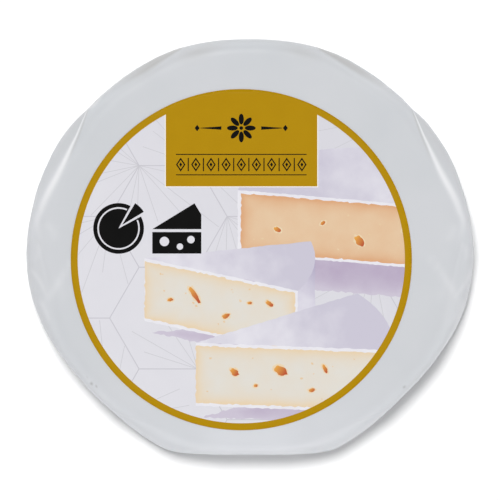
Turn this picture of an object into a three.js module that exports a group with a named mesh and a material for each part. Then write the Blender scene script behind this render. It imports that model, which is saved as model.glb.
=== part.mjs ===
// A shut wheel of soft white cheese in its white wrapper, lying flat with its round label up.
//
// Millimetres, +Z up, +Y towards the top of the label. The origin is on the surface that the pack
// rests on, under the middle of the pack's outline. The wrapper is pulled tight over the top, and its
// surplus is laid over in eight folds that come in four mirrored pairs, left and right. Between the
// folds the wrapper follows the cheese; at a fold it leaves the rim along a straight crease and runs
// down and out to a rounded corner.

import * as THREE from 'three';

// Driving dimensions
const PACK_HEIGHT = 30;         // from the surface below to the flat top
const TIGHT_RADIUS = 106.3;     // outline of the wrapper before its corners are added
const RIM_RADIUS = 108.6;       // the creases are tangents to this circle
const FLAT_TOP_RADIUS = 99.5;   // the shoulder starts here
const BASE_RADIUS = 101.5;      // flat underside
const WIDEST_HEIGHT = 10;       // height at which the wrapper stands out furthest
const SHOULDER_POWER = 3;       // 2 is an ellipse, more is squarer
const BASE_POWER = 2.2;
const FOLD_STEP = 0.8;          // thickness of a fold's edge on the underside
const FOLD_STEP_AT_WIDEST = 0.25;   // and on the side, where the fold is still pulled flat
const FOLD_LEAN = 5;            // degrees that the folds lean as they run down the side

const LABEL_RADIUS = 90.3;
const LABEL_THICKNESS = 0.3;
const LABEL_OFFSET = { x: -4.9, y: -6.5 };
const LABEL_SIDES = 96;

// Corner pairs of the outline: angle in degrees on the right, how far it stands out, how wide it is
const CORNER_PAIRS = [
  { angle: 66, reach: 5.6, spread: 24.5 },
  { angle: 31.5, reach: 3.8, spread: 18 },
  { angle: -7, reach: 12.4, spread: 38.5 },
  { angle: -66.5, reach: 7.2, spread: 18.5 },
];

// Fold pairs: a fold starts at its kink and its crease touches the rim at the tangent angle
const FOLD_PAIRS = [
  { kink: 72, tangent: 58, reach: 2.2 },
  { kink: 40.5, tangent: 25, reach: 4 },
  { kink: 2, tangent: -13, reach: 3.2 },
  { kink: -50, tangent: -65, reach: 2.6 },
];
const FOLD_RISE = 12;           // degrees from the kink to the fold's full reach
const FOLD_FADE = [14, 34];     // degrees from the kink over which the fold dies out
const GROOVE_WIDTH = 5;         // degrees over which the wrapper sinks towards a fold's edge
const PLAIN_CREASE_SWEEP = 42;  // degrees round the shoulder at which a fold's reach begins, off its crease
const CREASE_LEAD_IN = 8;       // degrees before a kink over which that turns to meet the crease
const CREASE_LIMIT = 0.97;      // share of the shoulder's width that a crease reaches at most

// How finely the skin is divided
const COLUMN_SPACING = 2.6;     // degrees
const EDGE_GAP = 0.45;          // degrees between a fold's edge and the columns beside it
const ROWS_TO_CREASE = 5;
const ROWS_TO_WIDEST = 5;
const ROWS_TO_BASE = 6;
const UNDERSIDE_ROWS = [0.78, 0.5, 0.22];   // shares of the base radius

const toRadians = THREE.MathUtils.degToRad;
const { smoothstep, euclideanModulo } = THREE.MathUtils;

// Turn from one angle to another, between -180 and 180 degrees
function turn(from, to) {
  return euclideanModulo(to - from + 180, 360) - 180;
}

// Each pair as its right and its left member; side is 1 on the right and -1 on the left
const corners = CORNER_PAIRS.flatMap((pair) => [pair, { ...pair, angle: 180 - pair.angle }]);
const folds = FOLD_PAIRS.flatMap((pair) => [
  { ...pair, side: 1 },
  { ...pair, kink: 180 - pair.kink, tangent: 180 - pair.tangent, side: -1 },
]);

function outlineRadius(angle) {
  return corners.reduce(
    (radius, corner) => radius + corner.reach * Math.exp(-((turn(corner.angle, angle) / corner.spread) ** 2)),
    TIGHT_RADIUS,
  );
}

// Degrees past a fold's kink, positive on the side where its facet lies
function pastKink(fold, angle) {
  return -fold.side * turn(fold.kink, angle);
}

// Share of a fold's reach: none up to the kink, all of it past the rise, and none again past the fade
function foldShare(past) {
  if (past <= 0) return 0;
  const rise = Math.sin((Math.PI / 2) * Math.min(1, past / FOLD_RISE));
  return rise * (1 - smoothstep(past, FOLD_FADE[0], FOLD_FADE[1]));
}

// How far the folds stand out beyond the wrapper that follows the cheese
function foldReach(angle) {
  return folds.reduce((sum, fold) => sum + fold.reach * foldShare(pastKink(fold, angle)), 0);
}

// The wrapper sinks beside a fold's edge, on the side away from its facet
function grooveShare(angle) {
  return folds.reduce((deepest, fold) => {
    const past = pastKink(fold, angle);
    return past > 0 ? deepest : Math.max(deepest, Math.exp(past / GROOVE_WIDTH));
  }, 0);
}

// Quarter of a rounded corner: sweep 0 to 90 degrees gives across 0 to 1 and down 1 to 0
function roundedCorner(sweep, power) {
  return {
    across: Math.sin(toRadians(sweep)) ** (2 / power),
    up: Math.max(0, Math.cos(toRadians(sweep))) ** (2 / power),
  };
}

// Sweep of the shoulder at which the crease lies: it follows the tangent line of the nearest fold
function creaseSweep(angle) {
  const bodyRadius = outlineRadius(angle) - foldReach(angle);
  let sweep = PLAIN_CREASE_SWEEP;
  for (const fold of folds) {
    const past = pastKink(fold, angle);
    if (past < -CREASE_LEAD_IN || past > FOLD_FADE[1]) continue;
    const lineRadius = RIM_RADIUS / Math.cos(toRadians(turn(fold.tangent, angle)));
    const across = Math.min(CREASE_LIMIT, (lineRadius - FLAT_TOP_RADIUS) / (bodyRadius - FLAT_TOP_RADIUS));
    const onLine = THREE.MathUtils.radToDeg(Math.asin(across ** (SHOULDER_POWER / 2)));
    const share = smoothstep(past, -CREASE_LEAD_IN, 0) * (1 - smoothstep(past, FOLD_FADE[0], FOLD_FADE[1]));
    sweep += (onLine - sweep) * share;
  }
  return sweep;
}

// Columns: evenly spread between the folds' edges, with one column close to each side of an edge
function columnAngles() {
  const edges = folds.map((fold) => euclideanModulo(fold.kink, 360)).sort((a, b) => a - b);
  return edges.flatMap((edge, index) => {
    const next = index + 1 < edges.length ? edges[index + 1] : edges[0] + 360;
    const first = edge + EDGE_GAP;
    const width = next - EDGE_GAP - first;
    const count = Math.round(width / COLUMN_SPACING);
    return Array.from({ length: count + 1 }, (_, step) => first + (width * step) / count);
  });
}

// One ring of points for each row, from the shoulder's start down to the underside's innermost ring
function wrapperRings(columns) {
  const rings = [];
  const shoulderRows = ROWS_TO_CREASE + ROWS_TO_WIDEST;

  // On the side, the columns lean towards the lower edge of the label
  const leaned = (angle, share) => angle - FOLD_LEAN * share * Math.cos(toRadians(angle));
  const pointAt = (angle, radius, z) => new THREE.Vector3(
    radius * Math.cos(toRadians(angle)), radius * Math.sin(toRadians(angle)), z,
  );

  for (let row = 0; row <= shoulderRows; row += 1) {
    rings.push(columns.map((column) => {
      const crease = creaseSweep(column);
      const belowCrease = Math.max(0, row - ROWS_TO_CREASE) / ROWS_TO_WIDEST;
      const sweep = row <= ROWS_TO_CREASE
        ? (crease * row) / ROWS_TO_CREASE
        : crease + (90 - crease) * belowCrease;
      const corner = roundedCorner(sweep, SHOULDER_POWER);
      const down = Math.max(0, 1 - corner.up / roundedCorner(crease, SHOULDER_POWER).up);
      const lean = smoothstep(down, 0, 1) / 2;
      const angle = leaned(column, lean);
      const reach = foldReach(column);
      const body = outlineRadius(angle) - reach;
      const groove = FOLD_STEP_AT_WIDEST * grooveShare(column) * down;
      const radius = FLAT_TOP_RADIUS + (body - FLAT_TOP_RADIUS) * corner.across + reach * down - groove;
      return pointAt(angle, radius, WIDEST_HEIGHT + (PACK_HEIGHT - WIDEST_HEIGHT) * corner.up);
    }));
  }

  for (let row = 1; row <= ROWS_TO_BASE; row += 1) {
    rings.push(columns.map((column) => {
      const corner = roundedCorner(90 - (90 * row) / ROWS_TO_BASE, BASE_POWER);
      const angle = leaned(column, 1 - corner.across / 2);
      const step = FOLD_STEP_AT_WIDEST + (FOLD_STEP - FOLD_STEP_AT_WIDEST) * corner.up;
      const groove = step * grooveShare(column);
      const radius = BASE_RADIUS + (outlineRadius(angle) - groove - BASE_RADIUS) * corner.across;
      return pointAt(angle, radius, WIDEST_HEIGHT * (1 - corner.up) + groove * corner.up);
    }));
  }

  for (const share of UNDERSIDE_ROWS) {
    const depth = FOLD_STEP * smoothstep(share, UNDERSIDE_ROWS.at(-1), UNDERSIDE_ROWS[0]);
    rings.push(columns.map(
      (column) => pointAt(leaned(column, 1), BASE_RADIUS * share, depth * grooveShare(column)),
    ));
  }
  return rings;
}

// Closed skin: a fan on the flat top, bands between the rings, and a fan on the underside
function closedSkin(rings, topZ, bottomZ) {
  const count = rings[0].length;
  const points = [new THREE.Vector3(0, 0, topZ), ...rings.flat(), new THREE.Vector3(0, 0, bottomZ)];
  const at = (ring, column) => 1 + ring * count + (column % count);
  const triangles = [];
  for (let column = 0; column < count; column += 1) {
    triangles.push(0, at(0, column), at(0, column + 1));
    for (let ring = 0; ring + 1 < rings.length; ring += 1) {
      const [upper, upperNext] = [at(ring, column), at(ring, column + 1)];
      const [lower, lowerNext] = [at(ring + 1, column), at(ring + 1, column + 1)];
      triangles.push(upper, lower, upperNext, upperNext, lower, lowerNext);
    }
    triangles.push(at(rings.length - 1, column), points.length - 1, at(rings.length - 1, column + 1));
  }
  const geometry = new THREE.BufferGeometry().setFromPoints(points);
  geometry.setIndex(triangles);
  return geometry;
}

// The wrapper with the cheese inside it, centred on its outline
function wrappedWheel() {
  const geometry = closedSkin(wrapperRings(columnAngles()), PACK_HEIGHT, 0);
  geometry.computeBoundingBox();
  const middle = geometry.boundingBox.getCenter(new THREE.Vector3());
  geometry.translate(-middle.x, -middle.y, 0);
  geometry.computeVertexNormals();
  const mesh = new THREE.Mesh(geometry, new THREE.MeshStandardMaterial({
    color: 0xd1d3d7, roughness: 0.38, metalness: 0,
  }));
  mesh.name = 'wrapped_wheel';
  return mesh;
}

// The round paper label, stuck flat on the top
function label() {
  const disc = new THREE.CylinderGeometry(LABEL_RADIUS, LABEL_RADIUS, LABEL_THICKNESS, LABEL_SIDES);
  const mesh = new THREE.Mesh(disc, new THREE.MeshStandardMaterial({
    color: 0xdedde4, roughness: 0.45, metalness: 0,
  }));
  mesh.rotation.x = Math.PI / 2;
  mesh.position.set(LABEL_OFFSET.x, LABEL_OFFSET.y, PACK_HEIGHT + LABEL_THICKNESS / 2);
  mesh.name = 'label';
  return mesh;
}

const group = new THREE.Group();
group.add(wrappedWheel(), label());

export default group;
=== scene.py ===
"""A shut wheel of soft white cheese in its folded white wrapper, with a printed round label on top.

Shapes are worked out in millimetres and written to Blender in metres. +Z is up through the label,
and +Y is towards the top of the label.
"""

import math
import random
from itertools import product

import bpy
import numpy as np
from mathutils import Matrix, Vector, geometry, noise


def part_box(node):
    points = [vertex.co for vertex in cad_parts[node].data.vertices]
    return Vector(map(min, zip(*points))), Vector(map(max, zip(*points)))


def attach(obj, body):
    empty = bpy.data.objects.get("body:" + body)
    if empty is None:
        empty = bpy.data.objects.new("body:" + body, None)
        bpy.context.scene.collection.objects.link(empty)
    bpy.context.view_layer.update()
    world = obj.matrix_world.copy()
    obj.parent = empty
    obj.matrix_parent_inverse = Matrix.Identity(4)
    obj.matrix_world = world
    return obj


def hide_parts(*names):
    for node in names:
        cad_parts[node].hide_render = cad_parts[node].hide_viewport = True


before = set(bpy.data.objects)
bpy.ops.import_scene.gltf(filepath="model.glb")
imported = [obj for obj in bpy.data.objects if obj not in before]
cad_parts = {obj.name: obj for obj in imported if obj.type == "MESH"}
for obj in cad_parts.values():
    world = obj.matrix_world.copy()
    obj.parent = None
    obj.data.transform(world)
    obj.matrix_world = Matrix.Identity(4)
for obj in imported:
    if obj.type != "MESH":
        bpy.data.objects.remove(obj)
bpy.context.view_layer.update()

MM = 0.001


def box_mm(node):
    """Lowest and highest corner of a node of the frame, in millimetres."""
    low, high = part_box(node)
    return low / MM, high / MM


wheel_low, wheel_high = box_mm("wrapped_wheel")
label_low, label_high = box_mm("label")

# The pack's driving sizes in millimetres, those of the frame but for a slightly squarer shoulder
PACK_HEIGHT = wheel_high.z
TIGHT_RADIUS = 106.3            # outline of the wrapper before its corners are added
RIM_RADIUS = 108.6              # the creases are tangents to this circle
FLAT_TOP_RADIUS = 99.5          # the shoulder starts here
BASE_RADIUS = 101.5             # flat underside
WIDEST_HEIGHT = 10.0
SHOULDER_POWER = 3.8            # 2 is an ellipse, more is squarer
BASE_POWER = 2.2
FOLD_STEP = 0.8                 # thickness of a fold's edge on the underside
FOLD_STEP_AT_WIDEST = 0.25      # and on the side, where the fold is still pulled flat
FOLD_STEP_SPAN = (0.22, 0.78)   # shares of the underside's radius between which the edge grows
FOLD_LEAN = 5.0                 # degrees that the folds lean as they run down the side

# Corner pairs of the outline: angle in degrees on the right, reach and spread
CORNER_PAIRS = [(66.0, 5.6, 24.5), (31.5, 3.8, 18.0), (-7.0, 12.4, 38.5), (-66.5, 7.2, 18.5)]

# Small corrections to the frame's outline, given in the same way: the sharpest corners stand out a
# little further, the kinks of the long creases cut in, and the outline bulges at the lower left
TRIM_PAIRS = [(-68.0, 0.85, 5.5), (40.5, -0.55, 2.6)]
LEFT_BULGE = (223.0, 0.55, 7.0)

# Fold pairs: kink, tangent angle of the crease, and reach, with the angles in degrees on the right
FOLD_PAIRS = [(72.0, 58.0, 2.2), (40.5, 25.0, 4.0), (2.0, -13.0, 3.2), (-50.0, -65.0, 2.6)]

# The bead by each pair's crease: height, width, place outwards from it, and the strength of the painted
# shade on the facet behind
BEADS = [(0.02, 2.0, -3.0, 0.90), (0.42, 1.7, -0.9, 0.20), (0.03, 2.6, 0.0, 0.05), (0.04, 2.2, -1.0, 0.0)]

FOLD_RISE = 12.0                # degrees past its kink in which a fold reaches its height
FOLD_FADE = (14.0, 34.0)        # degrees past its kink between which it ends
GROOVE_WIDTH = 5.0              # degrees
PLAIN_CREASE_SWEEP = 42.0       # sweep of the shoulder at which the crease lies away from all folds
CREASE_LEAD_IN = 8.0            # degrees before the kink in which it comes to the fold's line
CREASE_LIMIT = 0.97             # how far across the shoulder it may lie

# How finely the wrapper is divided
COLUMN_SPACING = 0.72           # degrees
EDGE_GAP = 0.07                 # degrees from a fold's edge to the nearest column
ROW_CROWDING = 1.5              # rows lie closer together towards the crease
TOP_ROWS = 26
ROWS_TO_CREASE = 18
ROWS_TO_WIDEST = 24
ROWS_TO_BASE = 24
UNDERSIDE_ROWS = 24

# The photographed label is a little smaller than the frame's, and lies a little to its right and front
LABEL_TRIM = 0.2
LABEL_SHIFT = Vector((0.27, -0.22, 0.0))
LABEL_RADIUS = (label_high.x - label_low.x) / 2 - LABEL_TRIM
LABEL_CENTRE = (label_low + label_high) / 2 + LABEL_SHIFT
LABEL_LIFT = 0.18               # how far the paper's face stands above the wrapper
LABEL_GRID = 1.4                # spacing of the points that let the label follow the wrapper
LABEL_RIM_POINTS = 288
LABEL_EDGE_DEPTH = 0.05         # how far the paper's edge reaches into the wrapper, so that no gap shows
LABEL_BACK_DEPTH = 0.5          # and how far the middle of its back does


def srgb(red, green, blue, gain):
    """Linear colour of an 8-bit screen colour, times gain."""
    def linear(value):
        value /= 255.0
        return value / 12.92 if value <= 0.04045 else ((value + 0.055) / 1.055) ** 2.4
    return (linear(red) * gain, linear(green) * gain, linear(blue) * gain, 1.0)


def turn(start, end):
    """Turn from one angle to another, between -180 and 180 degrees."""
    return (end - start + 180.0) % 360.0 - 180.0


def smoothstep(value, low, high):
    share = np.clip((value - low) / (high - low), 0.0, 1.0)
    return share * share * (3.0 - 2.0 * share)


def fade(value, low, high):
    return 1.0 - smoothstep(value, low, high)


def bell(value, width):
    """Bell curve that is 1 at 0 and has fallen to 0.37 at width."""
    return np.exp(-((value / width) ** 2))


class Fold:
    """One fold of the wrapper; side is 1 on the right and -1 on the left."""

    def __init__(self, side, kink, tangent, reach, bead):
        self.side = side
        self.kink = kink if side > 0 else 180.0 - kink
        self.tangent = tangent if side > 0 else 180.0 - tangent
        self.reach = reach
        self.bead, self.bead_width, self.bead_shift, self.painted_shade = bead

    def past(self, angle):
        """Degrees past the kink, positive on the side where the facet lies."""
        return -self.side * turn(self.kink, angle)

    def share(self, angle):
        past = self.past(angle)
        rise = np.sin(math.pi / 2 * np.clip(past / FOLD_RISE, 0.0, 1.0))
        return rise * fade(past, *FOLD_FADE)


corners = [LEFT_BULGE] + [
    (at, reach, spread)
    for angle, reach, spread in CORNER_PAIRS + TRIM_PAIRS for at in (angle, 180.0 - angle)
]
folds = [Fold(side, *pair, bead) for pair, bead in zip(FOLD_PAIRS, BEADS) for side in (1, -1)]


def outline_radius(angle):
    return TIGHT_RADIUS + sum(reach * bell(turn(at, angle), spread) for at, reach, spread in corners)


def fold_reach(angle):
    return sum(fold.reach * fold.share(angle) for fold in folds)


def groove_share(angle):
    """The wrapper sinks beside a fold's edge, on the side away from its facet."""
    pasts = [fold.past(angle) for fold in folds]
    return np.max([np.where(past > 0, 0.0, np.exp(past / GROOVE_WIDTH)) for past in pasts], axis=0)


def rounded_corner(sweep, power):
    """Quarter of a rounded corner: sweep 0 to 90 degrees gives across 0 to 1 and up 1 to 0."""
    across = np.sin(np.radians(sweep)) ** (2.0 / power)
    up = np.clip(np.cos(np.radians(sweep)), 0.0, 1.0) ** (2.0 / power)
    return across, up


def crease_sweep(angle):
    """Sweep of the shoulder at which the crease lies: it follows the tangent line of the nearest fold."""
    body = outline_radius(angle) - fold_reach(angle)
    sweep = np.full_like(angle, PLAIN_CREASE_SWEEP)
    for fold in folds:
        past = fold.past(angle)
        near = (past >= -CREASE_LEAD_IN) & (past <= FOLD_FADE[1])
        line = RIM_RADIUS / np.cos(np.radians(np.where(near, turn(fold.tangent, angle), 0.0)))
        across = np.clip((line - FLAT_TOP_RADIUS) / (body - FLAT_TOP_RADIUS), 0.0, CREASE_LIMIT)
        on_line = np.degrees(np.arcsin(across ** (SHOULDER_POWER / 2)))
        share = smoothstep(past, -CREASE_LEAD_IN, 0.0) * fade(past, *FOLD_FADE)
        sweep = sweep + np.where(near, (on_line - sweep) * share, 0.0)
    return sweep


def column_angles():
    """Angles of the columns: even between the folds' edges, with one close to each side of an edge."""
    edges = sorted(fold.kink % 360.0 for fold in folds)
    columns = []
    for edge, following in zip(edges, edges[1:] + [edges[0] + 360.0]):
        first, last = edge + EDGE_GAP, following - EDGE_GAP
        columns.append(np.linspace(first, last, round((last - first) / COLUMN_SPACING) + 1))
    return np.concatenate(columns)


WAVE_DEPTH = 0.07
SECOND_WAVE = 0.6               # height of the second wave as a share of the first
WAVE_ENDS = (97.0, 108.0)       # radii between which the waves end on the wrapper


def top_wave(x, y):
    """Slow unevenness of the soft top under the wrapper and the label, in millimetres, never above 0."""
    first = np.sin(x / 21.0 + 0.6) * np.cos(y / 25.0 - 0.4)
    second = SECOND_WAVE * np.sin(x / 33.0 - y / 19.0 + 1.1)
    return WAVE_DEPTH * (first + second - (1.0 + SECOND_WAVE))


def points_at(angle, radius, height):
    radians = np.radians(angle)
    return np.stack([radius * np.cos(radians), radius * np.sin(radians), height + 0.0 * radius], axis=-1)


def wrapper_form(columns):
    """The wrapper without its fine relief: points by row and column, and the row of the crease."""
    reach = fold_reach(columns)
    groove = groove_share(columns)
    crease = crease_sweep(columns)
    _, crease_up = rounded_corner(crease, SHOULDER_POWER)
    rows = []

    def leaned(share):
        return columns - FOLD_LEAN * share * np.cos(np.radians(columns))

    for share in np.linspace(0.0, 1.0, TOP_ROWS + 1)[1:]:
        rows.append(points_at(columns, FLAT_TOP_RADIUS * share + 0.0 * columns, PACK_HEIGHT))
    crease_row = len(rows) - 1 + ROWS_TO_CREASE

    to_crease = 1.0 - (1.0 - np.linspace(0.0, 1.0, ROWS_TO_CREASE + 1)[1:]) ** ROW_CROWDING
    to_widest = np.linspace(0.0, 1.0, ROWS_TO_WIDEST + 1)[1:] ** ROW_CROWDING
    sweeps = [crease * share for share in to_crease]
    sweeps += [crease + (90.0 - crease) * share for share in to_widest]
    for sweep in sweeps:
        across, up = rounded_corner(sweep, SHOULDER_POWER)
        down = np.clip(1.0 - up / crease_up, 0.0, 1.0)
        angle = leaned(smoothstep(down, 0.0, 1.0) / 2)
        body = outline_radius(angle) - reach
        radius = FLAT_TOP_RADIUS + (body - FLAT_TOP_RADIUS) * across
        radius += reach * down - FOLD_STEP_AT_WIDEST * groove * down
        rows.append(points_at(angle, radius, WIDEST_HEIGHT + (PACK_HEIGHT - WIDEST_HEIGHT) * up))

    for sweep in np.linspace(90.0, 0.0, ROWS_TO_BASE + 1)[1:]:
        across, up = rounded_corner(sweep, BASE_POWER)
        angle = leaned(1.0 - across / 2)
        sunk = (FOLD_STEP_AT_WIDEST + (FOLD_STEP - FOLD_STEP_AT_WIDEST) * up) * groove
        radius = BASE_RADIUS + (outline_radius(angle) - sunk - BASE_RADIUS) * across
        rows.append(points_at(angle, radius, WIDEST_HEIGHT * (1.0 - up) + sunk * up))

    for share in np.linspace(1.0, 0.0, UNDERSIDE_ROWS + 1)[1:-1]:
        depth = FOLD_STEP * smoothstep(share, *FOLD_STEP_SPAN) * groove
        rows.append(points_at(leaned(1.0), BASE_RADIUS * share + 0.0 * columns, depth))
    return np.array(rows), crease_row


def grid_normals(points):
    """Outward normals of a grid of rows and closed columns."""
    along = np.roll(points, -1, axis=1) - np.roll(points, 1, axis=1)
    down = np.gradient(points, axis=0)
    normals = np.cross(down, along)
    return normals / np.maximum(np.linalg.norm(normals, axis=-1, keepdims=True), 1e-9)


def fractal(points, scale, shift):
    """Fractal noise of about -1 to 1 at each point; scale is the size of its waves in millimetres."""
    roughness, step, octaves = 1.0, 2.0, 2
    places = (points.reshape(-1, 3) / scale + shift).tolist()
    values = [noise.fractal(Vector(place), roughness, step, octaves) for place in places]
    return np.array(values).reshape(points.shape[:-1])


# Soft creases of the slack wrapper near the rim, right side, each with a painted highlight along it: start
# and end in millimetres, height, width
SOFT_CREASES = [
    ((92.0, -1.0), (112.0, -33.0), 0.12, 2.0),
    ((112.0, 3.0), (114.5, -8.0), 0.09, 1.9),
    ((117.5, -9.5), (107.0, -27.0), 0.15, 1.2),
    ((113.0, -26.0), (106.0, -41.0), 0.14, 1.6),
    ((104.0, -14.0), (98.0, -30.0), 0.05, 2.6),
    ((50.0, 92.0), (80.0, 76.0), 0.05, 2.2),
    ((79.0, 80.5), (87.5, 73.0), 0.28, 0.9),
    ((108.0, 14.0), (103.0, 2.0), 0.10, 2.4),
    ((92.0, -66.0), (72.0, -86.0), 0.04, 2.2),
]
CREASE_BOW = 1.5                # millimetres that a soft crease bends out of its straight line
CREASE_START = (-0.05, 0.3)     # shares of its length between which it rises
CREASE_END = (0.6, 1.05)        # and between which it sinks
CREASE_FADE = 8.0               # millimetres above the widest place in which the creases fade in

# Small scuffs where the wrapper was rubbed: place and half length in millimetres
SCUFFS = [((-83.8, -71.6), 0.7), ((-81.1, -73.2), 0.45), ((-86.0, -68.4), 0.3), ((81.6, -73.2), 0.6)]
SCUFF_WIDTH = 0.6               # share of its length

# Painted shade in soft spots beside the upper folds: place, half width, half length along the rim, and how
# strong it is
SHADE_SPOTS = [
    ((27.5, 103.5), 3.0, 11.0, 0.42),
    ((-27.5, 103.5), 3.0, 11.0, 0.52),
    ((-53.8, 93.4), 2.4, 9.0, 0.30),
]


def crease_lines(points):
    """Height of the soft creases at each point, both sides mirrored, fading out at their ends."""
    height = np.zeros(points.shape[:-1])
    for start, end, tall, width in SOFT_CREASES:
        for side in (1.0, -1.0):
            a = np.array([side * start[0], start[1]])
            b = np.array([side * end[0], end[1]])
            length = np.linalg.norm(b - a)
            along = (points[..., :2] - a) @ ((b - a) / length) / length
            off = (points[..., :2] - a) @ (np.array([a[1] - b[1], b[0] - a[0]]) / length)
            bow = CREASE_BOW * np.sin(math.pi * np.clip(along, 0.0, 1.0))
            taper = smoothstep(along, *CREASE_START) * fade(along, *CREASE_END)
            height += tall * taper * bell(off - bow, width)
    return height * smoothstep(points[..., 2], WIDEST_HEIGHT, WIDEST_HEIGHT + CREASE_FADE)


def spot(points, place, half_out, half_along):
    """Soft oval spot on the upper side; the halves are its sizes towards the rim and along the rim."""
    outward = np.array(place) / math.hypot(*place)
    away = points[..., :2] - np.array(place)
    out = away @ outward
    along = away @ np.array([-outward[1], outward[0]])
    return bell(out, half_out) * bell(along, half_along) * (points[..., 2] > WIDEST_HEIGHT)


def scuff_share(points):
    """How much each point of the upper side is scuffed: faint grey specks, drawn out towards the rim."""
    return np.clip(sum(spot(points, place, half, SCUFF_WIDTH * half) for place, half in SCUFFS), 0.0, 1.0)


def shade_spot_share(points):
    """Strength of the painted shade in the soft spots beside the upper folds."""
    return sum(share * spot(points, place, *halves) for place, *halves, share in SHADE_SPOTS)


# How a fold changes on its way past the kink, in degrees: the bead along its crease widens, drifts inwards
# and ends, and the painted shade in the facet behind it and at the bead's foot ends as well
KINK_START = (0.0, 1.0)
BEAD_WIDENS = (0.0, 28.0)
BEAD_SHIFTS = (0.0, 8.0)
BEAD_DRIFTS = (14.0, 36.0)
BEAD_ENDS = (20.0, 42.0)
FACET_ENDS = (8.0, 26.0)
FOOT_ENDS = (6.0, 20.0)

HAIRLINE_SHARE = 0.35           # width of the bead at the kink, as a share of its given width
DRIFT = 1.5                     # how much further the bead drifts, as a share of its given shift
INNER_SLOPE = 0.75              # width of the bead's inner slope, as a share of the bead's
OUTER_SLOPE = 1.15
BEAD_HIGHLIGHT = 0.72 / 0.42    # painted highlight for each millimetre of height
FOOT_SHADE = 1.6                # strength of the painted shade in the groove at the bead's foot, for each millimetre of height
FOOT_PLACE = -1.3               # millimetres outwards from the bead
FOOT_WIDTH = 0.6
FACET_EDGE = 2.0                # millimetres outside the crease where the facet's painted shade is full
FACET_SPAN = (9.0, 18.0)        # and between which that ends


def crease_beads(points, crease_row, columns):
    """The raised beads along the folds' creases, as three values for each point.

    They are the bead's height, a painted highlight along the bead, and painted shade on the facet outside
    the crease and in the groove at the bead's foot. A bead starts as a hairline at the kink.
    """
    steps = np.linalg.norm(np.diff(points, axis=0), axis=-1)
    travelled = np.concatenate([np.zeros((1, points.shape[1])), np.cumsum(steps, axis=0)])
    offset = travelled - travelled[crease_row]
    height = np.zeros_like(offset)
    white = np.zeros_like(offset)
    painted_shade = np.zeros_like(offset)
    for fold in folds:
        past = fold.past(columns)
        start = smoothstep(past, *KINK_START)
        width = fold.bead_width * (HAIRLINE_SHARE + smoothstep(past, *BEAD_WIDENS))
        shift = fold.bead_shift * smoothstep(past, *BEAD_SHIFTS)
        beside = offset - shift * (1.0 + DRIFT * smoothstep(past, *BEAD_DRIFTS))
        width = width * np.where(beside < 0.0, INNER_SLOPE, OUTER_SLOPE)
        bead = bell(beside, width) * start * fade(past, *BEAD_ENDS)
        height += fold.bead * bead
        # Painted highlight along the bead
        white += BEAD_HIGHLIGHT * fold.bead * bead
        # Painted shade on the facet behind the crease and in the groove at the bead's foot
        facet = smoothstep(offset, fold.bead_shift, FACET_EDGE) * fade(offset, *FACET_SPAN)
        painted_shade += fold.painted_shade * facet * start * fade(past, *FACET_ENDS)
        foot = bell(beside - FOOT_PLACE, FOOT_WIDTH) * start * fade(past, *FOOT_ENDS)
        painted_shade += FOOT_SHADE * fold.bead * foot
    return height, white, painted_shade


# Painted light: the film is painted lighter in front, more and more between these distances to the front
# of the middle, and less and less between these distances to its sides
PAINTED_LIGHT_FRONT = (60.0, 112.0)
PAINTED_LIGHT_SIDES = (12.0, 34.0)
PAINTED_LIGHT_LOSS = 0.5

# Depths of the wrapper's relief in millimetres, and the sizes of its waves
CRUMPLE_DEPTH = 0.42
CRUMPLE_SIZE = 23.0
GATHER_DEPTH = 0.50
GATHER_SIZE = 9.0
FINE_GATHER_DEPTH = 0.16
FINE_GATHER_SIZE = 4.0
PLEAT_DEPTH = 0.35
FINE_PLEAT_DEPTH = 0.12

# The rim crumples most where the film is slack, which is where the outline stands out furthest
LEAST_SLACK = 0.16
MORE_SLACK = 0.5
SLACK_RADII = (113.0, 118.0)

RIM_SPAN = (98.0, 108.0)        # radii between which the top turns into the rim
UNDER_SPAN = (0.2, 0.9)         # how far down the skin faces where it turns into the underside
GATHER_HEIGHTS = (1.5, 14.0)    # the gathers fade out upwards between these heights
PLEAT_RADII = (18.0, 90.0)      # and the pleats towards the middle of the underside between these radii
GATHER_SHARPNESS = 3.2
ROLL_RADIUS = 100.0             # the gathers' noise is taken on an even cylinder of this radius,
ROLL_SQUEEZE = 0.2              # squeezed in height by this, so that they run upright
SOFT_CREASE_HIGHLIGHT = 1.2     # painted highlight for each millimetre of height


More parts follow.
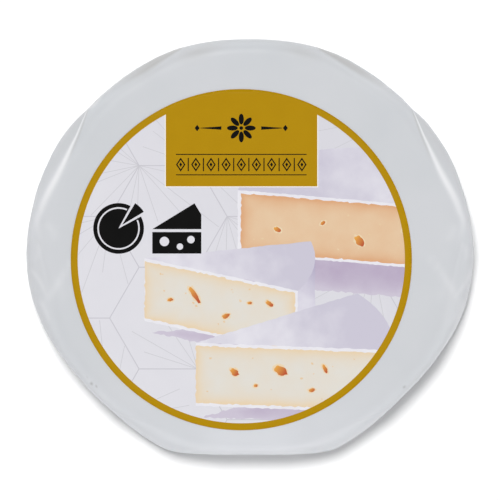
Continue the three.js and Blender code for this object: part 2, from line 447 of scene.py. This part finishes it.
def wrapper_relief(points, crease_row, columns):
    """Fine relief along the normals, in millimetres, and the film's tone at each point.

    The tone gives the painted highlights along the creases, the painted shade on facets and beside the
    upper folds, the painted light that makes the front lighter, and how scuffed the film is.
    """
    radius = np.hypot(points[..., 0], points[..., 1])
    height = points[..., 2]
    under = smoothstep(-grid_normals(points)[..., 2], *UNDER_SPAN)
    rim = smoothstep(radius, *RIM_SPAN)
    low_side = rim * fade(height, *GATHER_HEIGHTS)

    crumple = fractal(points, CRUMPLE_SIZE, (3.1, 0.4, 7.7))
    slack = LEAST_SLACK + MORE_SLACK * smoothstep(outline_radius(columns), *SLACK_RADII)
    relief = CRUMPLE_DEPTH * crumple * rim * slack * (1.0 - under)

    # Gathers run down the side, leaning as the folds do, and on as pleats towards the underside's middle
    rolled_out = points_at(columns, np.full_like(height, ROLL_RADIUS), ROLL_SQUEEZE * height)
    gathers = 1.0 - np.abs(fractal(rolled_out, GATHER_SIZE, (0.0, 5.0, 1.0))) * GATHER_SHARPNESS
    fine = fractal(rolled_out, FINE_GATHER_SIZE, (9.0, 2.0, 4.0))
    gathered = GATHER_DEPTH * np.clip(gathers, -0.3, 1.0) + FINE_GATHER_DEPTH * fine
    relief += low_side * gathered * (1.0 - under)
    pleated = PLEAT_DEPTH * np.clip(1.0 - gathers, 0.0, 1.0) + FINE_PLEAT_DEPTH * np.abs(fine)
    relief -= under * smoothstep(radius, *PLEAT_RADII) * pleated

    bead, white, painted_shade = crease_beads(points, crease_row, columns)
    soft = crease_lines(points)
    relief += bead + soft
    # Painted light: the film is painted lighter towards the front
    front_light = smoothstep(-points[..., 1], *PAINTED_LIGHT_FRONT)
    front_light = front_light * (1.0 - PAINTED_LIGHT_LOSS * smoothstep(np.abs(points[..., 0]), *PAINTED_LIGHT_SIDES))
    tone = {
        "painted_front_light": front_light,
        "painted_shade_tone": painted_shade + shade_spot_share(points),
        "painted_crease_highlight": np.clip(white + SOFT_CREASE_HIGHLIGHT * soft, 0.0, 1.0),
        "scuff": scuff_share(points),
    }
    return relief, tone


def grid_object(name, points, top, bottom, attributes):
    """Closed skin over rows of points, with one point in the middle above and one below."""
    rows, count = points.shape[:2]
    verts = [top] + points.reshape(-1, 3).tolist() + [bottom]
    faces = []
    for column in range(count):
        following = (column + 1) % count
        faces.append((0, 1 + column, 1 + following))
        for row in range(rows - 1):
            upper, lower = 1 + row * count, 1 + (row + 1) * count
            faces.append((upper + column, lower + column, lower + following, upper + following))
        last = 1 + (rows - 1) * count
        faces.append((last + column, len(verts) - 1, last + following))
    return mesh_object(name, verts, faces, attributes)


def add_object(name, data):
    piece = bpy.data.objects.new(name, data)
    bpy.context.scene.collection.objects.link(piece)
    return piece


def mesh_object(name, verts_mm, faces, attributes=None):
    mesh = bpy.data.meshes.new(name)
    mesh.from_pydata([tuple(v * MM for v in vert) for vert in verts_mm], [], faces)
    mesh.validate()
    for attribute, values in (attributes or {}).items():
        layer = mesh.attributes.new(attribute, "FLOAT", "POINT")
        layer.data.foreach_set("value", np.asarray(values, np.float32))
    mesh.shade_smooth()
    return add_object(name, mesh)


def make_wrapper():
    """The wrapper over the cheese, with its folds, creases and gathers."""
    columns = column_angles()
    points, crease_row = wrapper_form(columns)
    middle = (points.min(axis=(0, 1)) + points.max(axis=(0, 1))) / 2
    relief, tone = wrapper_relief(points, crease_row, columns)
    radius = np.hypot(points[..., 0], points[..., 1])
    on_top = (points[..., 2] > WIDEST_HEIGHT) * fade(radius, *WAVE_ENDS)
    points = points + grid_normals(points) * relief[..., None]
    points[..., :2] -= middle[:2]
    points[..., 2] += on_top * top_wave(points[..., 0], points[..., 1])
    points[..., 2] = np.maximum(points[..., 2], 0.0)
    top = (-middle[0], -middle[1], PACK_HEIGHT + float(top_wave(-middle[0], -middle[1])))
    bottom = (-middle[0], -middle[1], 0.0)
    tone = {name: np.concatenate([[0.0], values.reshape(-1), [0.0]]) for name, values in tone.items()}
    return grid_object("wrapper", points, top, bottom, tone)


# The label's print, in millimetres from the label's centre
RING_WIDTH = 3.7
PRINT_RADIUS = LABEL_RADIUS - RING_WIDTH
PRINT_POINTS = 240
TAB_MIDDLE = 0.13               # the tab is printed a little to the right
TAB_HALF_WIDTH = 40.0
TAB_BOTTOM = 38.7
HALO = 0.5                      # pale line left round the tab


def polar(centre, angle, radius):
    radians = math.radians(angle)
    return (centre[0] + radius * math.cos(radians), centre[1] + radius * math.sin(radians))


def arc(centre, radius, start, end, count):
    return [polar(centre, angle, radius) for angle in np.linspace(start, end, count)]


def disc(centre, radius, count):
    return arc(centre, radius, 0.0, 360.0 * (count - 1) / count, count)


def bar(start, end, width):
    """A thin straight line as a field, with points all along both of its sides."""
    (x0, y0), (x1, y1) = start, end
    length = math.hypot(x1 - x0, y1 - y0)
    dx, dy = -(y1 - y0) / length * width / 2, (x1 - x0) / length * width / 2
    shares = np.linspace(0.0, 1.0, max(2, round(length / LABEL_GRID)))
    there = [(x0 + (x1 - x0) * s + dx, y0 + (y1 - y0) * s + dy) for s in shares]
    back = [(x0 + (x1 - x0) * s - dx, y0 + (y1 - y0) * s - dy) for s in shares[::-1]]
    return there + back


def no_tint(x, y):
    return 0.0 * x


class Field:
    """One field of ink: its ink and outline, how a second colour is mixed in, and the disc it ends at."""

    def __init__(self, ink, outline, tint=no_tint, clip="print"):
        self.ink = ink
        self.outline = outline
        self.tint = tint
        self.clip = clip


LATTICE_STEP = 31.0             # side of the hexagons in the thin lines on the paper
LATTICE_SHIFT = (8.0, -4.0)
LATTICE_SEED = 5
LATTICE_ROWS = range(-5, 6)     # enough rows and columns of nodes to cover the label
LINE_WIDTH = 0.5
HAIRLINE_WIDTH = 0.3
FAN = (-46.0, -28.0, -10.0, 8.0, 26.0, 44.0)    # directions of a fan's hairlines, from its corner's middle
FAN_JITTER = 5.0
FAN_LENGTHS = (0.55, 0.75, 0.98)                # shares of the way to the hexagon's other side


def corner_reach(turned):
    """How far a hexagon of side 1 reaches from one corner, in a direction turned from its middle."""
    away = abs(turned)
    if away <= 30.0:
        return math.sqrt(3.0) / math.cos(math.radians(30.0 - away))
    return math.sqrt(3.0) / 2 / math.sin(math.radians(away))


def lattice_fields():
    """Thin lines in hexagons, and in each hexagon a fan of hairlines from one of its corners."""
    rng = random.Random(LATTICE_SEED)
    rise = LATTICE_STEP * math.sin(math.radians(60))
    fields = []
    for row, column in product(LATTICE_ROWS, LATTICE_ROWS):
        node = ((column + row / 2) * LATTICE_STEP + LATTICE_SHIFT[0], row * rise + LATTICE_SHIFT[1])
        if math.hypot(*node) > PRINT_RADIUS + LATTICE_STEP:
            continue
        # Every third node is the middle of a hexagon, and every other third one starts three of the sides
        kind = (column - row) % 3
        if kind == 1:
            for direction in (0.0, 120.0, 240.0):
                end = polar(node, direction, LATTICE_STEP)
                fields.append(Field("line", bar(node, end, LINE_WIDTH)))
        elif kind == 0:
            facing = 60.0 * rng.randrange(6)
            corner = polar(node, facing + 180.0, LATTICE_STEP)
            for spread in FAN:
                turned = spread + rng.uniform(-FAN_JITTER, FAN_JITTER)
                reach = LATTICE_STEP * corner_reach(turned) * rng.choice(FAN_LENGTHS)
                end = polar(corner, facing + turned, reach)
                fields.append(Field("hairline", bar(corner, end, HAIRLINE_WIDTH)))
    return fields


def mixed(first, second, share):
    return tuple(a + (b - a) * share for a, b in zip(first, second))


def oval(centre, across, tall, tilt, count, rng=None):
    """A small oval, tilted by an angle in degrees; rng makes it uneven."""
    outline = []
    for angle in np.linspace(0.0, 360.0, count + 1)[:-1]:
        far = rng.uniform(0.8, 1.15) if rng else 1.0
        x = across * far * math.cos(math.radians(angle))
        y = tall * far * math.sin(math.radians(angle))
        outline.append(polar(centre, math.degrees(math.atan2(y, x)) + tilt, math.hypot(x, y)))
    return outline


# The picture of cut cheese: pieces standing on a table, drawn as seen from the front and above
VIEW_RISE = 26.0                # degrees from which the table is seen
RAG_STEP = 1.6                  # length of the steps that a ragged outline is cut into
CORNER_JITTER = 0.3             # how much it moves at its corners, as a share of the rest


def drawn(x, y, z):
    """Place on the label of a point of the pictured table."""
    rise = math.radians(VIEW_RISE)
    return (x, y * math.sin(rise) + z * math.cos(rise))


def ragged(points, amount, seed):
    """A closed outline with its edges cut into short steps, and each moved a little to and fro."""
    rng = random.Random(seed)
    out = []
    for (x0, y0), (x1, y1) in zip(points, points[1:] + points[:1]):
        steps = max(1, round(math.hypot(x1 - x0, y1 - y0) / RAG_STEP))
        for step in range(steps):
            share = step / steps
            jitter = amount if step > 0 else amount * CORNER_JITTER
            out.append((
                x0 + (x1 - x0) * share + rng.uniform(-jitter, jitter),
                y0 + (y1 - y0) * share + rng.uniform(-jitter, jitter),
            ))
    return out


def ramp(start, end):
    """Tint that grows from 0 at start to 1 at end."""
    (x0, y0), (x1, y1) = start, end
    dx, dy = x1 - x0, y1 - y0
    squared = max(dx ** 2 + dy ** 2, 1e-9)
    return lambda x, y: np.clip(((x - x0) * dx + (y - y0) * dy) / squared, 0.0, 1.0)


def near_edges(outline, reach):
    """Tint that is full at the outline's edges and fades inwards over reach."""
    points = np.array(outline)
    ends = np.roll(points, -1, axis=0)

    def tint(x, y):
        nearest = np.full(np.shape(x), 1e9)
        for (x0, y0), (x1, y1) in zip(points, ends):
            share = ramp((x0, y0), (x1, y1))(x, y)
            away = np.hypot(x - x0 - share * (x1 - x0), y - y0 - share * (y1 - y0))
            nearest = np.minimum(nearest, away)
        return np.exp(-nearest / reach)
    return tint


PIECE_HEIGHT = 37.0
RIND = 1.7                      # thickness of the pictured rind
PORES = 12                      # faint small pores on each pictured cut face
FACE_SHADE = 3.2                # how far the colour of the paste's edges reaches inwards
SHADOW_SHADE = 5.0


class Piece:
    """A pictured sector of a wheel: from its middle, between two angles."""

    def __init__(self, middle, radius, start, end, paste, seed):
        self.middle = middle
        self.radius = radius
        self.start = start
        self.end = end
        self.paste = paste
        self.seed = seed

    def at(self, angle, radius, z):
        x, y = polar(self.middle, angle, radius)
        return drawn(x, y, z)

    def edge(self, end, z, count):
        """Points along the round edge, from the start to an angle, at one height."""
        return [self.at(angle, self.radius, z) for angle in np.linspace(self.start, end, count)]

    def shadow(self, throw):
        base = [self.at(self.start, 0.0, 0.0)] + self.edge(self.end, 0.0, 40)
        far = [(x + throw[0], y + throw[1]) for x, y in base]
        return Field("shadow", ragged(far, 0.5, self.seed + 5), near_edges(far, SHADOW_SHADE))

    def rind_top(self):
        outline = [self.at(self.start, 0.0, PIECE_HEIGHT)] + self.edge(self.end, PIECE_HEIGHT, 48)
        front = self.at(self.start, self.radius * 0.4, PIECE_HEIGHT)
        back = self.at(self.end, self.radius, PIECE_HEIGHT)
        return Field("rind", ragged(outline, 0.22, self.seed), ramp(front, back))

    def side_wall(self):
        """The outer rind below the top, as far round as it faces the viewer."""
        top = self.edge(0.0, PIECE_HEIGHT, 12)
        foot = self.edge(0.0, 0.0, 12)[::-1]
        return Field("rind_side", ragged(top + foot, 0.2, self.seed + 6), ramp(top[0], top[-1]))

    def cut_face(self, start, end, eyes):
        """The flat cut face between its two ends, each an angle and a share of the radius.

        Rind lies all over it, the paste is inset in the rind, and the eyes are in the paste. Each eye says
        how far it lies along the face and up it, its half sizes, and its tilt.
        """
        full = self.face_outline(start, end, 0.0)
        inset = RIND / self.radius
        inner = [(angle, share - inset if share == 1.0 else share) for angle, share in (start, end)]
        paste = self.face_outline(*inner, RIND)
        fields = [
            Field("rind_cut", ragged(full, 0.25, self.seed + 2)),
            Field(self.paste, ragged(paste, 0.42, self.seed + 3), near_edges(paste, FACE_SHADE)),
        ]
        rng = random.Random(self.seed + 4)
        low_start, low_end, high_end, high_start = paste

        def on_face(along, share):
            return mixed(mixed(low_start, low_end, along), mixed(high_start, high_end, along), share)

        for _ in range(PORES):
            place = on_face(rng.uniform(0.04, 0.96), rng.uniform(0.1, 0.9))
            size = rng.uniform(0.25, 0.6)
            fields.append(Field("pore", oval(place, 1.5 * size, size, rng.uniform(-60.0, 20.0), 8, rng)))
        for along, share, across, tall, tilt in eyes:
            place = on_face(along, share)
            fields.append(Field("eye_rim", oval(place, across + 0.7, tall + 0.6, tilt, 16, rng)))
            tint = ramp(polar(place, 150.0, across), polar(place, -40.0, across))
            fields.append(Field("eye", oval(place, across, tall, tilt, 16, rng), tint))
        return fields

    def face_outline(self, start, end, inset):
        """Outline of the cut face, its ends given by angle and share of the radius."""
        low, high = inset, PIECE_HEIGHT - inset
        places = ((start, low), (end, low), (end, high), (start, high))
        return [self.at(angle, self.radius * share, z) for (angle, share), z in places]


def picture_fields():
    """Half a wheel at the back with its cut face in front, and two cut wedges before it."""
    half = Piece((60.0, -4.0), 63.0, -11.0, 169.0, "paste_warm", 11)
    left = Piece((-51.0, -74.0), 90.0, -26.0, 13.0, "paste", 23)
    front = Piece((-24.0, -176.0), 104.0, -5.0, 35.0, "paste", 37)
    fields = [half.shadow((1.0, -16.0)), half.side_wall(), half.rind_top()]
    fields += half.cut_face((169.0, 1.0), (-11.0, 1.0), [
        (0.16, 0.42, 2.0, 1.3, -20.0), (0.36, 0.60, 1.5, 0.9, 30.0),
        (0.52, 0.34, 3.3, 2.0, -55.0), (0.72, 0.58, 1.6, 1.0, 10.0),
    ])
    fields += [left.shadow((4.0, -6.0)), left.side_wall(), left.rind_top()]
    fields += left.cut_face((-26.0, 0.0), (-26.0, 1.0), [
        (0.17, 0.42, 1.5, 0.9, 10.0), (0.33, 0.60, 5.2, 1.4, -58.0),
        (0.54, 0.34, 2.1, 1.3, 20.0), (0.70, 0.66, 1.3, 0.8, 0.0), (0.83, 0.72, 2.2, 1.2, -35.0),
    ])
    fields += [front.shadow((4.0, -6.0)), front.side_wall(), front.rind_top()]
    fields += front.cut_face((-5.0, 0.0), (-5.0, 1.0), [
        (0.20, 0.56, 2.7, 1.7, -40.0), (0.31, 0.34, 1.1, 0.8, 0.0), (0.44, 0.62, 3.7, 2.3, -30.0),
        (0.60, 0.30, 1.7, 1.0, 15.0), (0.67, 0.68, 2.4, 1.0, -60.0),
    ])
    return fields


def emblem_fields():
    """A bold black picture of a cut wheel from above and a wedge from the side."""
    wheel_at, radius, gap = (-64.8, 16.5), 13.4, 2.6
    slice_at = polar(wheel_at, 45.0, gap)
    low, shelf, high, gap_above = 3.2, 14.6, 29.8, 1.5
    tip, peak, back = -47.0, -24.7, -21.1
    top_face = [(tip, shelf + gap_above), (back, shelf + gap_above), (back, high - 6.0), (peak, high)]
    fields = [
        Field("black", [wheel_at] + arc(wheel_at, radius, 62.0, 388.0, 60)),
        Field("black", [slice_at] + arc(slice_at, radius, 31.0, 59.0, 14)),
        Field("ground", ring_band(wheel_at, radius - gap, 0.8, 66.0, 384.0)),
        Field("black", [(tip, low), (back, low), (back, shelf), (tip, shelf)]),
        Field("black", top_face),
    ]
    for place, size in (((-40.6, 9.6), 2.5), ((-32.4, 6.9), 1.7), ((-26.6, 10.6), 2.0)):
        fields.append(Field("ground", disc(place, size, 24)))
    return fields


def ring_band(centre, radius, width, start, end):
    outer = arc(centre, radius + width / 2, start, end, 50)
    inner = arc(centre, radius - width / 2, end, start, 50)
    return outer + inner


def lozenge(centre, across, along):
    x, y = centre
    return [(x - across, y), (x, y - along), (x + across, y), (x, y + along)]


# On the gold tab: a rosette between tapered rules, over a band of lozenges and bars between two rules
ROSETTE = (0.0, 69.5)
PETALS = 8
PETAL_PLACE = 4.7
PETAL_SIZE = (2.9, 1.35)
BAND_Y = 50.2
BAND_PITCH = 8.0
BAND_COUNT = 9
BAND_LOZENGES = (("black", 2.5, 3.7), ("gold", 1.7, 2.5), ("black", 0.8, 1.2))
BAND_RULE = 5.4                 # how far above and below the middle of the band its rules lie
BAND_HALF_WIDTH = 34.5


def tab_fields():
    """The gold tab at the top, with its black ornament."""
    fields = []
    for ink, margin, clip in (("halo", HALO, "print"), ("gold", 0.0, "label")):
        left, right = TAB_MIDDLE - TAB_HALF_WIDTH - margin, TAB_MIDDLE + TAB_HALF_WIDTH + margin
        low, top = TAB_BOTTOM - margin, LABEL_RADIUS
        fields.append(Field(ink, [(left, low), (right, low), (right, top), (left, top)], clip=clip))
    for direction in np.arange(PETALS) * 360.0 / PETALS:
        middle = polar(ROSETTE, direction, PETAL_PLACE)
        fields.append(Field("black", oval(middle, *PETAL_SIZE, direction, 17)))
    fields.append(Field("black", disc(ROSETTE, 1.0, 16)))
    y = ROSETTE[1]
    for side in (-1.0, 1.0):
        near, far = 10.5 * side, 21.5 * side
        fields.append(Field("black", [(near, y + 0.9), (far, y + 0.15), (far, y - 0.15), (near, y - 0.9)]))
        fields.append(Field("black", lozenge((far + 1.8 * side, y), 1.3, 1.7)))
    for index in range(BAND_COUNT):
        x = (index - (BAND_COUNT - 1) / 2) * BAND_PITCH
        fields += [Field(ink, lozenge((x, BAND_Y), across, tall)) for ink, across, tall in BAND_LOZENGES]
        if index < BAND_COUNT - 1:
            x += BAND_PITCH / 2
            fields.append(Field("black", bar((x, BAND_Y - 3.5), (x, BAND_Y + 3.5), 0.6)))
    for y in (BAND_Y - BAND_RULE, BAND_Y + BAND_RULE):
        fields.append(Field("black", bar((-BAND_HALF_WIDTH, y), (BAND_HALF_WIDTH, y), 0.5)))
    return fields


def label_fields():
    """All fields of the print, each laid over those before it."""
    ring = disc((0.0, 0.0), LABEL_RADIUS, LABEL_RIM_POINTS)
    ground = disc((0.0, 0.0), PRINT_RADIUS, PRINT_POINTS)
    fields = [
        Field("gold", ring, clip="label"),
        Field("ground", ground, ramp((-20.0, -20.0), (60.0, 70.0)), clip="label"),
    ]
    return fields + lattice_fields() + picture_fields() + emblem_fields() + tab_fields()


def grid_points():
    """Even points all over the label, clear of its rim."""
    steps = np.arange(-LABEL_RADIUS, LABEL_RADIUS + LABEL_GRID, LABEL_GRID)
    return [place for place in product(steps, steps) if math.hypot(*place) < LABEL_RADIUS - 1.0]


def signed_area(outline):
    return sum(x0 * y1 - x1 * y0 for (x0, y0), (x1, y1) in zip(outline, outline[1:] + outline[:1])) / 2


def divide_face(fields):
    """Divide the label's face along the outlines of its fields: points, triangles and their fields."""
    verts, loops = [], []
    for field in fields:
        outline = field.outline if signed_area(field.outline) > 0 else field.outline[::-1]
        loops.append(list(range(len(verts), len(verts) + len(outline))))
        verts += [Vector(point) for point in outline]
    verts += [Vector(point) for point in grid_points()]
    inside_only, nearest = 1, 1e-4
    flat, _, triangles, _, _, owners = geometry.delaunay_2d_cdt(verts, [], loops, inside_only, nearest)
    flat = np.array([(v.x, v.y) for v in flat])

    # A triangle takes the last field that covers it, if that field's clipping disc covers it too
    clips = {"label": 0, "print": 1}
    faces, chosen = [], []
    for triangle, inside in zip(triangles, owners):
        if 0 not in inside:
            continue
        choice = max(index for index in inside if clips[fields[index].clip] in inside)
        a, b, c = (flat[index] for index in triangle)
        up = (b[0] - a[0]) * (c[1] - a[1]) - (b[1] - a[1]) * (c[0] - a[0]) > 0
        faces.append(list(triangle) if up else list(triangle)[::-1])
        chosen.append(choice)

    # Only the points inside the label are kept
    used = np.unique(np.array(faces))
    place = np.full(len(flat), -1)
    place[used] = np.arange(len(used))
    return flat[used], place[np.array(faces)].tolist(), chosen


def add_tint(mesh, fields, chosen, flat):
    """Give each corner of the label's faces the tint of its field there."""
    values = np.zeros(len(mesh.loops), np.float32)
    corner_verts = np.zeros(len(mesh.loops), int)
    mesh.loops.foreach_get("vertex_index", corner_verts)
    totals = np.zeros(len(mesh.polygons), int)
    mesh.polygons.foreach_get("loop_total", totals)
    corner_field = np.repeat(np.array(chosen), totals)
    for index in set(chosen):
        mine = np.flatnonzero((corner_field == index) & (corner_verts < len(flat)))
        values[mine] = fields[index].tint(*flat[corner_verts[mine]].T)
    mesh.attributes.new("tint", "FLOAT", "CORNER").data.foreach_set("value", values)


def make_label(materials):
    """The paper label: its face divided into the fields of print, lying on the uneven top."""
    fields = label_fields()
    flat, faces, chosen = divide_face(fields)
    x, y = flat[:, 0] + LABEL_CENTRE.x, flat[:, 1] + LABEL_CENTRE.y
    face_z = PACK_HEIGHT + top_wave(x, y) + LABEL_LIFT
    verts_mm = np.stack([x, y, face_z], axis=1).tolist()

    # Rim and back, so that the paper is a closed sheet
    count = LABEL_RIM_POINTS
    rim = [int(np.argmin(np.hypot(*(flat - point).T))) for point in fields[0].outline]
    back = len(verts_mm)
    verts_mm += [(x[i], y[i], face_z[i] - LABEL_LIFT - LABEL_EDGE_DEPTH) for i in rim]
    verts_mm.append((LABEL_CENTRE.x, LABEL_CENTRE.y, PACK_HEIGHT - LABEL_BACK_DEPTH))
    for step in range(count):
        following = (step + 1) % count
        faces.append([rim[following], rim[step], back + step, back + following])
        faces.append([back + following, back + step, back + count])
    chosen += [0] * (2 * count)

    piece = mesh_object("printed_label", verts_mm, faces)
    inks = sorted({field.ink for field in fields})
    for ink in inks:
        piece.data.materials.append(materials[ink])
    piece.data.polygons.foreach_set("material_index", [inks.index(fields[c].ink) for c in chosen])
    add_tint(piece.data, fields, chosen, flat)
    return piece


def feed(tree, socket, value):
    """Link a node's output to the socket, or set the socket to a plain value."""
    if isinstance(value, bpy.types.NodeSocket):
        tree.links.new(value, socket)
    else:
        socket.default_value = value


class Nodes:
    """Adds shader nodes of one material and links them."""

    def __init__(self, name):
        self.material = bpy.data.materials.new(name)
        self.material.use_nodes = True
        self.tree = self.material.node_tree
        self.surface = self.tree.nodes["Principled BSDF"]

    def add(self, kind, inputs=(), **settings):
        node = self.tree.nodes.new(kind)
        for key, value in settings.items():
            setattr(node, key, value)
        for socket, value in dict(inputs).items():
            feed(self.tree, node.inputs[socket], value)
        return node

    def noise(self, scale, detail):
        """Noise in the object's own space; scale is waves in each metre."""
        place = self.add("ShaderNodeTexCoord").outputs["Object"]
        inputs = {"Vector": place, "Scale": scale, "Detail": detail}
        return self.add("ShaderNodeTexNoise", inputs).outputs["Fac"]

    def attribute(self, name):
        return self.add("ShaderNodeAttribute", attribute_name=name).outputs["Fac"]

    def span(self, value, low, high, to_low=0.0, to_high=1.0):
        return self.add("ShaderNodeMapRange", {
            "Value": value, "From Min": low, "From Max": high, "To Min": to_low, "To Max": to_high,
        }).outputs["Result"]

    def mix(self, share, first, second):
        return self.add("ShaderNodeMix", {0: share, 6: first, 7: second}, data_type="RGBA").outputs[2]

    def bump(self, height, depth_mm, strength, under=None):
        inputs = {"Height": height, "Distance": depth_mm * MM, "Strength": strength}
        if under is not None:
            inputs["Normal"] = under
        return self.add("ShaderNodeBump", inputs).outputs["Normal"]

    def set(self, **inputs):
        for socket, value in inputs.items():
            feed(self.tree, self.surface.inputs[socket.replace("_", " ")], value)


# Shares of a photographed brightness that a surface's own colour takes
FILM_GAIN = 0.82
PRINT_GAIN = 0.85

# The film's two clouded colours, and then the colours of its tones, each laid over those before it
FILM_CLOUDS = ((207, 210, 214), (211, 213, 217))
FILM_TONES = {
    # Painted light in front, painted shade, painted highlights on the creases, then the real scuffs
    "painted_front_light": (220, 222, 227),
    "painted_shade_tone": (191, 191, 191),
    "painted_crease_highlight": (250, 250, 252),
    "scuff": (168, 168, 168),
}


def film_material():
    """Smooth white wrapper, with painted shade on facets and beside the upper folds, painted highlights
    along the creases and painted light in front.
    """
    nodes = Nodes("white_film")
    cloudy = nodes.span(nodes.noise(22.0, 4.0), 0.35, 0.65)
    colour = nodes.mix(cloudy, *(srgb(*cloud, FILM_GAIN) for cloud in FILM_CLOUDS))
    for tone, tone_colour in FILM_TONES.items():
        colour = nodes.mix(nodes.attribute(tone), colour, srgb(*tone_colour, FILM_GAIN))
    rough = nodes.span(nodes.noise(60.0, 3.0), 0.3, 0.7, 0.38, 0.50)
    crinkle = nodes.bump(nodes.noise(110.0, 2.0), 0.10, 0.3)
    normal = nodes.bump(nodes.noise(1100.0, 2.0), 0.012, 0.4, crinkle)
    nodes.set(Base_Color=colour, Roughness=rough, Normal=normal, Specular_IOR_Level=0.15)
    return nodes.material


# Inks: first colour, second colour for the tint, and share of mottling
INKS = {
    "ground": ((225, 224, 230), (218, 217, 224), 0.25),
    "halo": ((246, 242, 234), (240, 236, 232), 0.3),
    "gold": ((181, 140, 12), (172, 131, 9), 0.30),
    "black": ((12, 12, 12), (22, 21, 21), 0.30),
    "line": ((200, 198, 206), (208, 206, 213), 0.35),
    "hairline": ((202, 201, 207), (209, 208, 214), 0.35),
    "rind": ((229, 227, 235), (205, 201, 216), 0.55),
    "rind_side": ((228, 226, 235), (178, 169, 196), 0.35),
    "rind_cut": ((237, 236, 241), (228, 226, 235), 0.60),
    "paste": ((226, 223, 216), (233, 211, 178), 0.24),
    "paste_warm": ((231, 202, 168), (222, 170, 128), 0.26),
    "pore": ((233, 208, 172), (226, 190, 146), 0.50),
    "eye_rim": ((236, 216, 182), (232, 204, 160), 0.3),
    "eye": ((238, 178, 84), (188, 88, 58), 0.20),
    "shadow": ((184, 169, 194), (206, 198, 214), 0.35),
}


def ink_material(name, first, second, mottling):
    """Printed paper: the ink's two colours mixed by the field's tint and a fine mottling."""
    nodes = Nodes("print_" + name)
    cloudy = nodes.span(nodes.noise(95.0, 4.0), 0.3, 0.7)
    share = nodes.add("ShaderNodeMath", {0: cloudy, 1: mottling, 2: nodes.attribute("tint")},
                      operation="MULTIPLY_ADD", use_clamp=True).outputs["Value"]
    colour = nodes.mix(share, srgb(*first, PRINT_GAIN), srgb(*second, PRINT_GAIN))
    rough = nodes.span(nodes.noise(200.0, 2.0), 0.3, 0.7, 0.34, 0.44)
    fibres = nodes.bump(nodes.noise(1500.0, 2.0), 0.01, 0.4)
    nodes.set(Base_Color=colour, Roughness=rough, Normal=fibres, Specular_IOR_Level=0.02)
    return nodes.material


def floor_material():
    nodes = Nodes("pale_floor")
    colour = nodes.mix(nodes.noise(4.0, 2.0), (0.93, 0.93, 0.93, 1.0), (0.95, 0.95, 0.95, 1.0))
    nodes.set(Base_Color=colour, Roughness=0.9, Specular_IOR_Level=0.0)
    return nodes.material


FLOOR_HALF = 15000.0


def make_floor():
    square = ((-1, -1), (1, -1), (1, 1), (-1, 1))
    floor = mesh_object("floor", [(x * FLOOR_HALF, y * FLOOR_HALF, 0) for x, y in square], [(0, 1, 2, 3)])
    floor.data.materials.append(floor_material())


SKY_COLOUR = (0.985, 0.985, 0.985, 1.0)
SKY_TOP = 0.12                  # brightness overhead
SKY_LOW = 2.40                  # and at the horizon
SKY_FALL = 3.0                  # how fast it falls on the way up
SKY_FRONT = 0.45                # how much brighter the sky is in front, and darker behind
SKY_RIGHT = 0.15                # how much brighter it is on the right, and darker on the left


def add_sun(name, azimuth, elevation, strength, softness):
    """A broad light from far away; azimuth is counted from +X towards +Y, in degrees."""
    light = bpy.data.lights.new(name, "SUN")
    light.energy = strength
    light.angle = math.radians(softness)
    a, e = math.radians(azimuth), math.radians(elevation)
    towards = Vector((math.cos(e) * math.cos(a), math.cos(e) * math.sin(a), math.sin(e)))
    add_object(name, light).rotation_euler = towards.to_track_quat("Z", "Y").to_euler()


def make_lights():
    add_sun("key", azimuth=109.0, elevation=71.5, strength=2.68, softness=20.0)
    add_sun("front_fill", azimuth=288.0, elevation=5.0, strength=0.52, softness=30.0)
    make_sky()


def make_sky():
    """White studio walls: brighter low down than overhead, and brightest in front and on the right."""
    world = bpy.data.worlds.new("studio")
    bpy.context.scene.world = world
    world.use_nodes = True
    tree = world.node_tree

    def maths(operation, first, second):
        node = tree.nodes.new("ShaderNodeMath")
        node.operation = operation
        feed(tree, node.inputs[0], first)
        feed(tree, node.inputs[1], second)
        return node.outputs["Value"]

    place = tree.nodes.new("ShaderNodeTexCoord").outputs["Generated"]
    axes = tree.nodes.new("ShaderNodeSeparateXYZ")
    tree.links.new(place, axes.inputs["Vector"])
    low = maths("SUBTRACT", 1.0, maths("ABSOLUTE", axes.outputs["Z"], 0.0))
    low = maths("POWER", low, SKY_FALL)
    walls = maths("ADD", maths("MULTIPLY", low, SKY_LOW - SKY_TOP), SKY_TOP)
    front = maths("SUBTRACT", 1.0, maths("MULTIPLY", axes.outputs["Y"], SKY_FRONT))
    uneven = maths("ADD", front, maths("MULTIPLY", axes.outputs["X"], SKY_RIGHT))
    background = tree.nodes["Background"]
    background.inputs["Color"].default_value = SKY_COLOUR
    tree.links.new(maths("MULTIPLY", walls, uneven), background.inputs["Strength"])


# The camera looks straight down, as in the photograph
PHOTO_SIZE = 500.0              # pixels across
OUTLINE_WIDTH_PX = 447.1        # the pack's outline from left to right
OUTLINE_MIDDLE_PX = (250.05, 246.95)
CAMERA_HEIGHT = 5000.0
SENSOR = 36.0
FAR_CLIP = 100.0                # metres


def make_camera():
    camera = bpy.data.cameras.new("camera")
    camera.sensor_width = SENSOR
    width = wheel_high.x - wheel_low.x
    camera.lens = SENSOR * OUTLINE_WIDTH_PX / PHOTO_SIZE * (CAMERA_HEIGHT - WIDEST_HEIGHT) / width
    camera.clip_end = FAR_CLIP
    scale = width / OUTLINE_WIDTH_PX
    x = (PHOTO_SIZE / 2 - OUTLINE_MIDDLE_PX[0]) * scale
    y = (OUTLINE_MIDDLE_PX[1] - PHOTO_SIZE / 2) * scale
    piece = add_object("camera", camera)
    piece.location = (x * MM, y * MM, CAMERA_HEIGHT * MM)
    bpy.context.scene.camera = piece


make_camera()
make_lights()
make_floor()

wrapper = make_wrapper()
wrapper.data.materials.append(film_material())
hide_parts("wrapped_wheel")
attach(wrapper, "root")

label = make_label({name: ink_material(name, *ink) for name, ink in INKS.items()})
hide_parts("label")
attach(label, "root")

bpy.context.scene.view_settings.view_transform = "Standard"
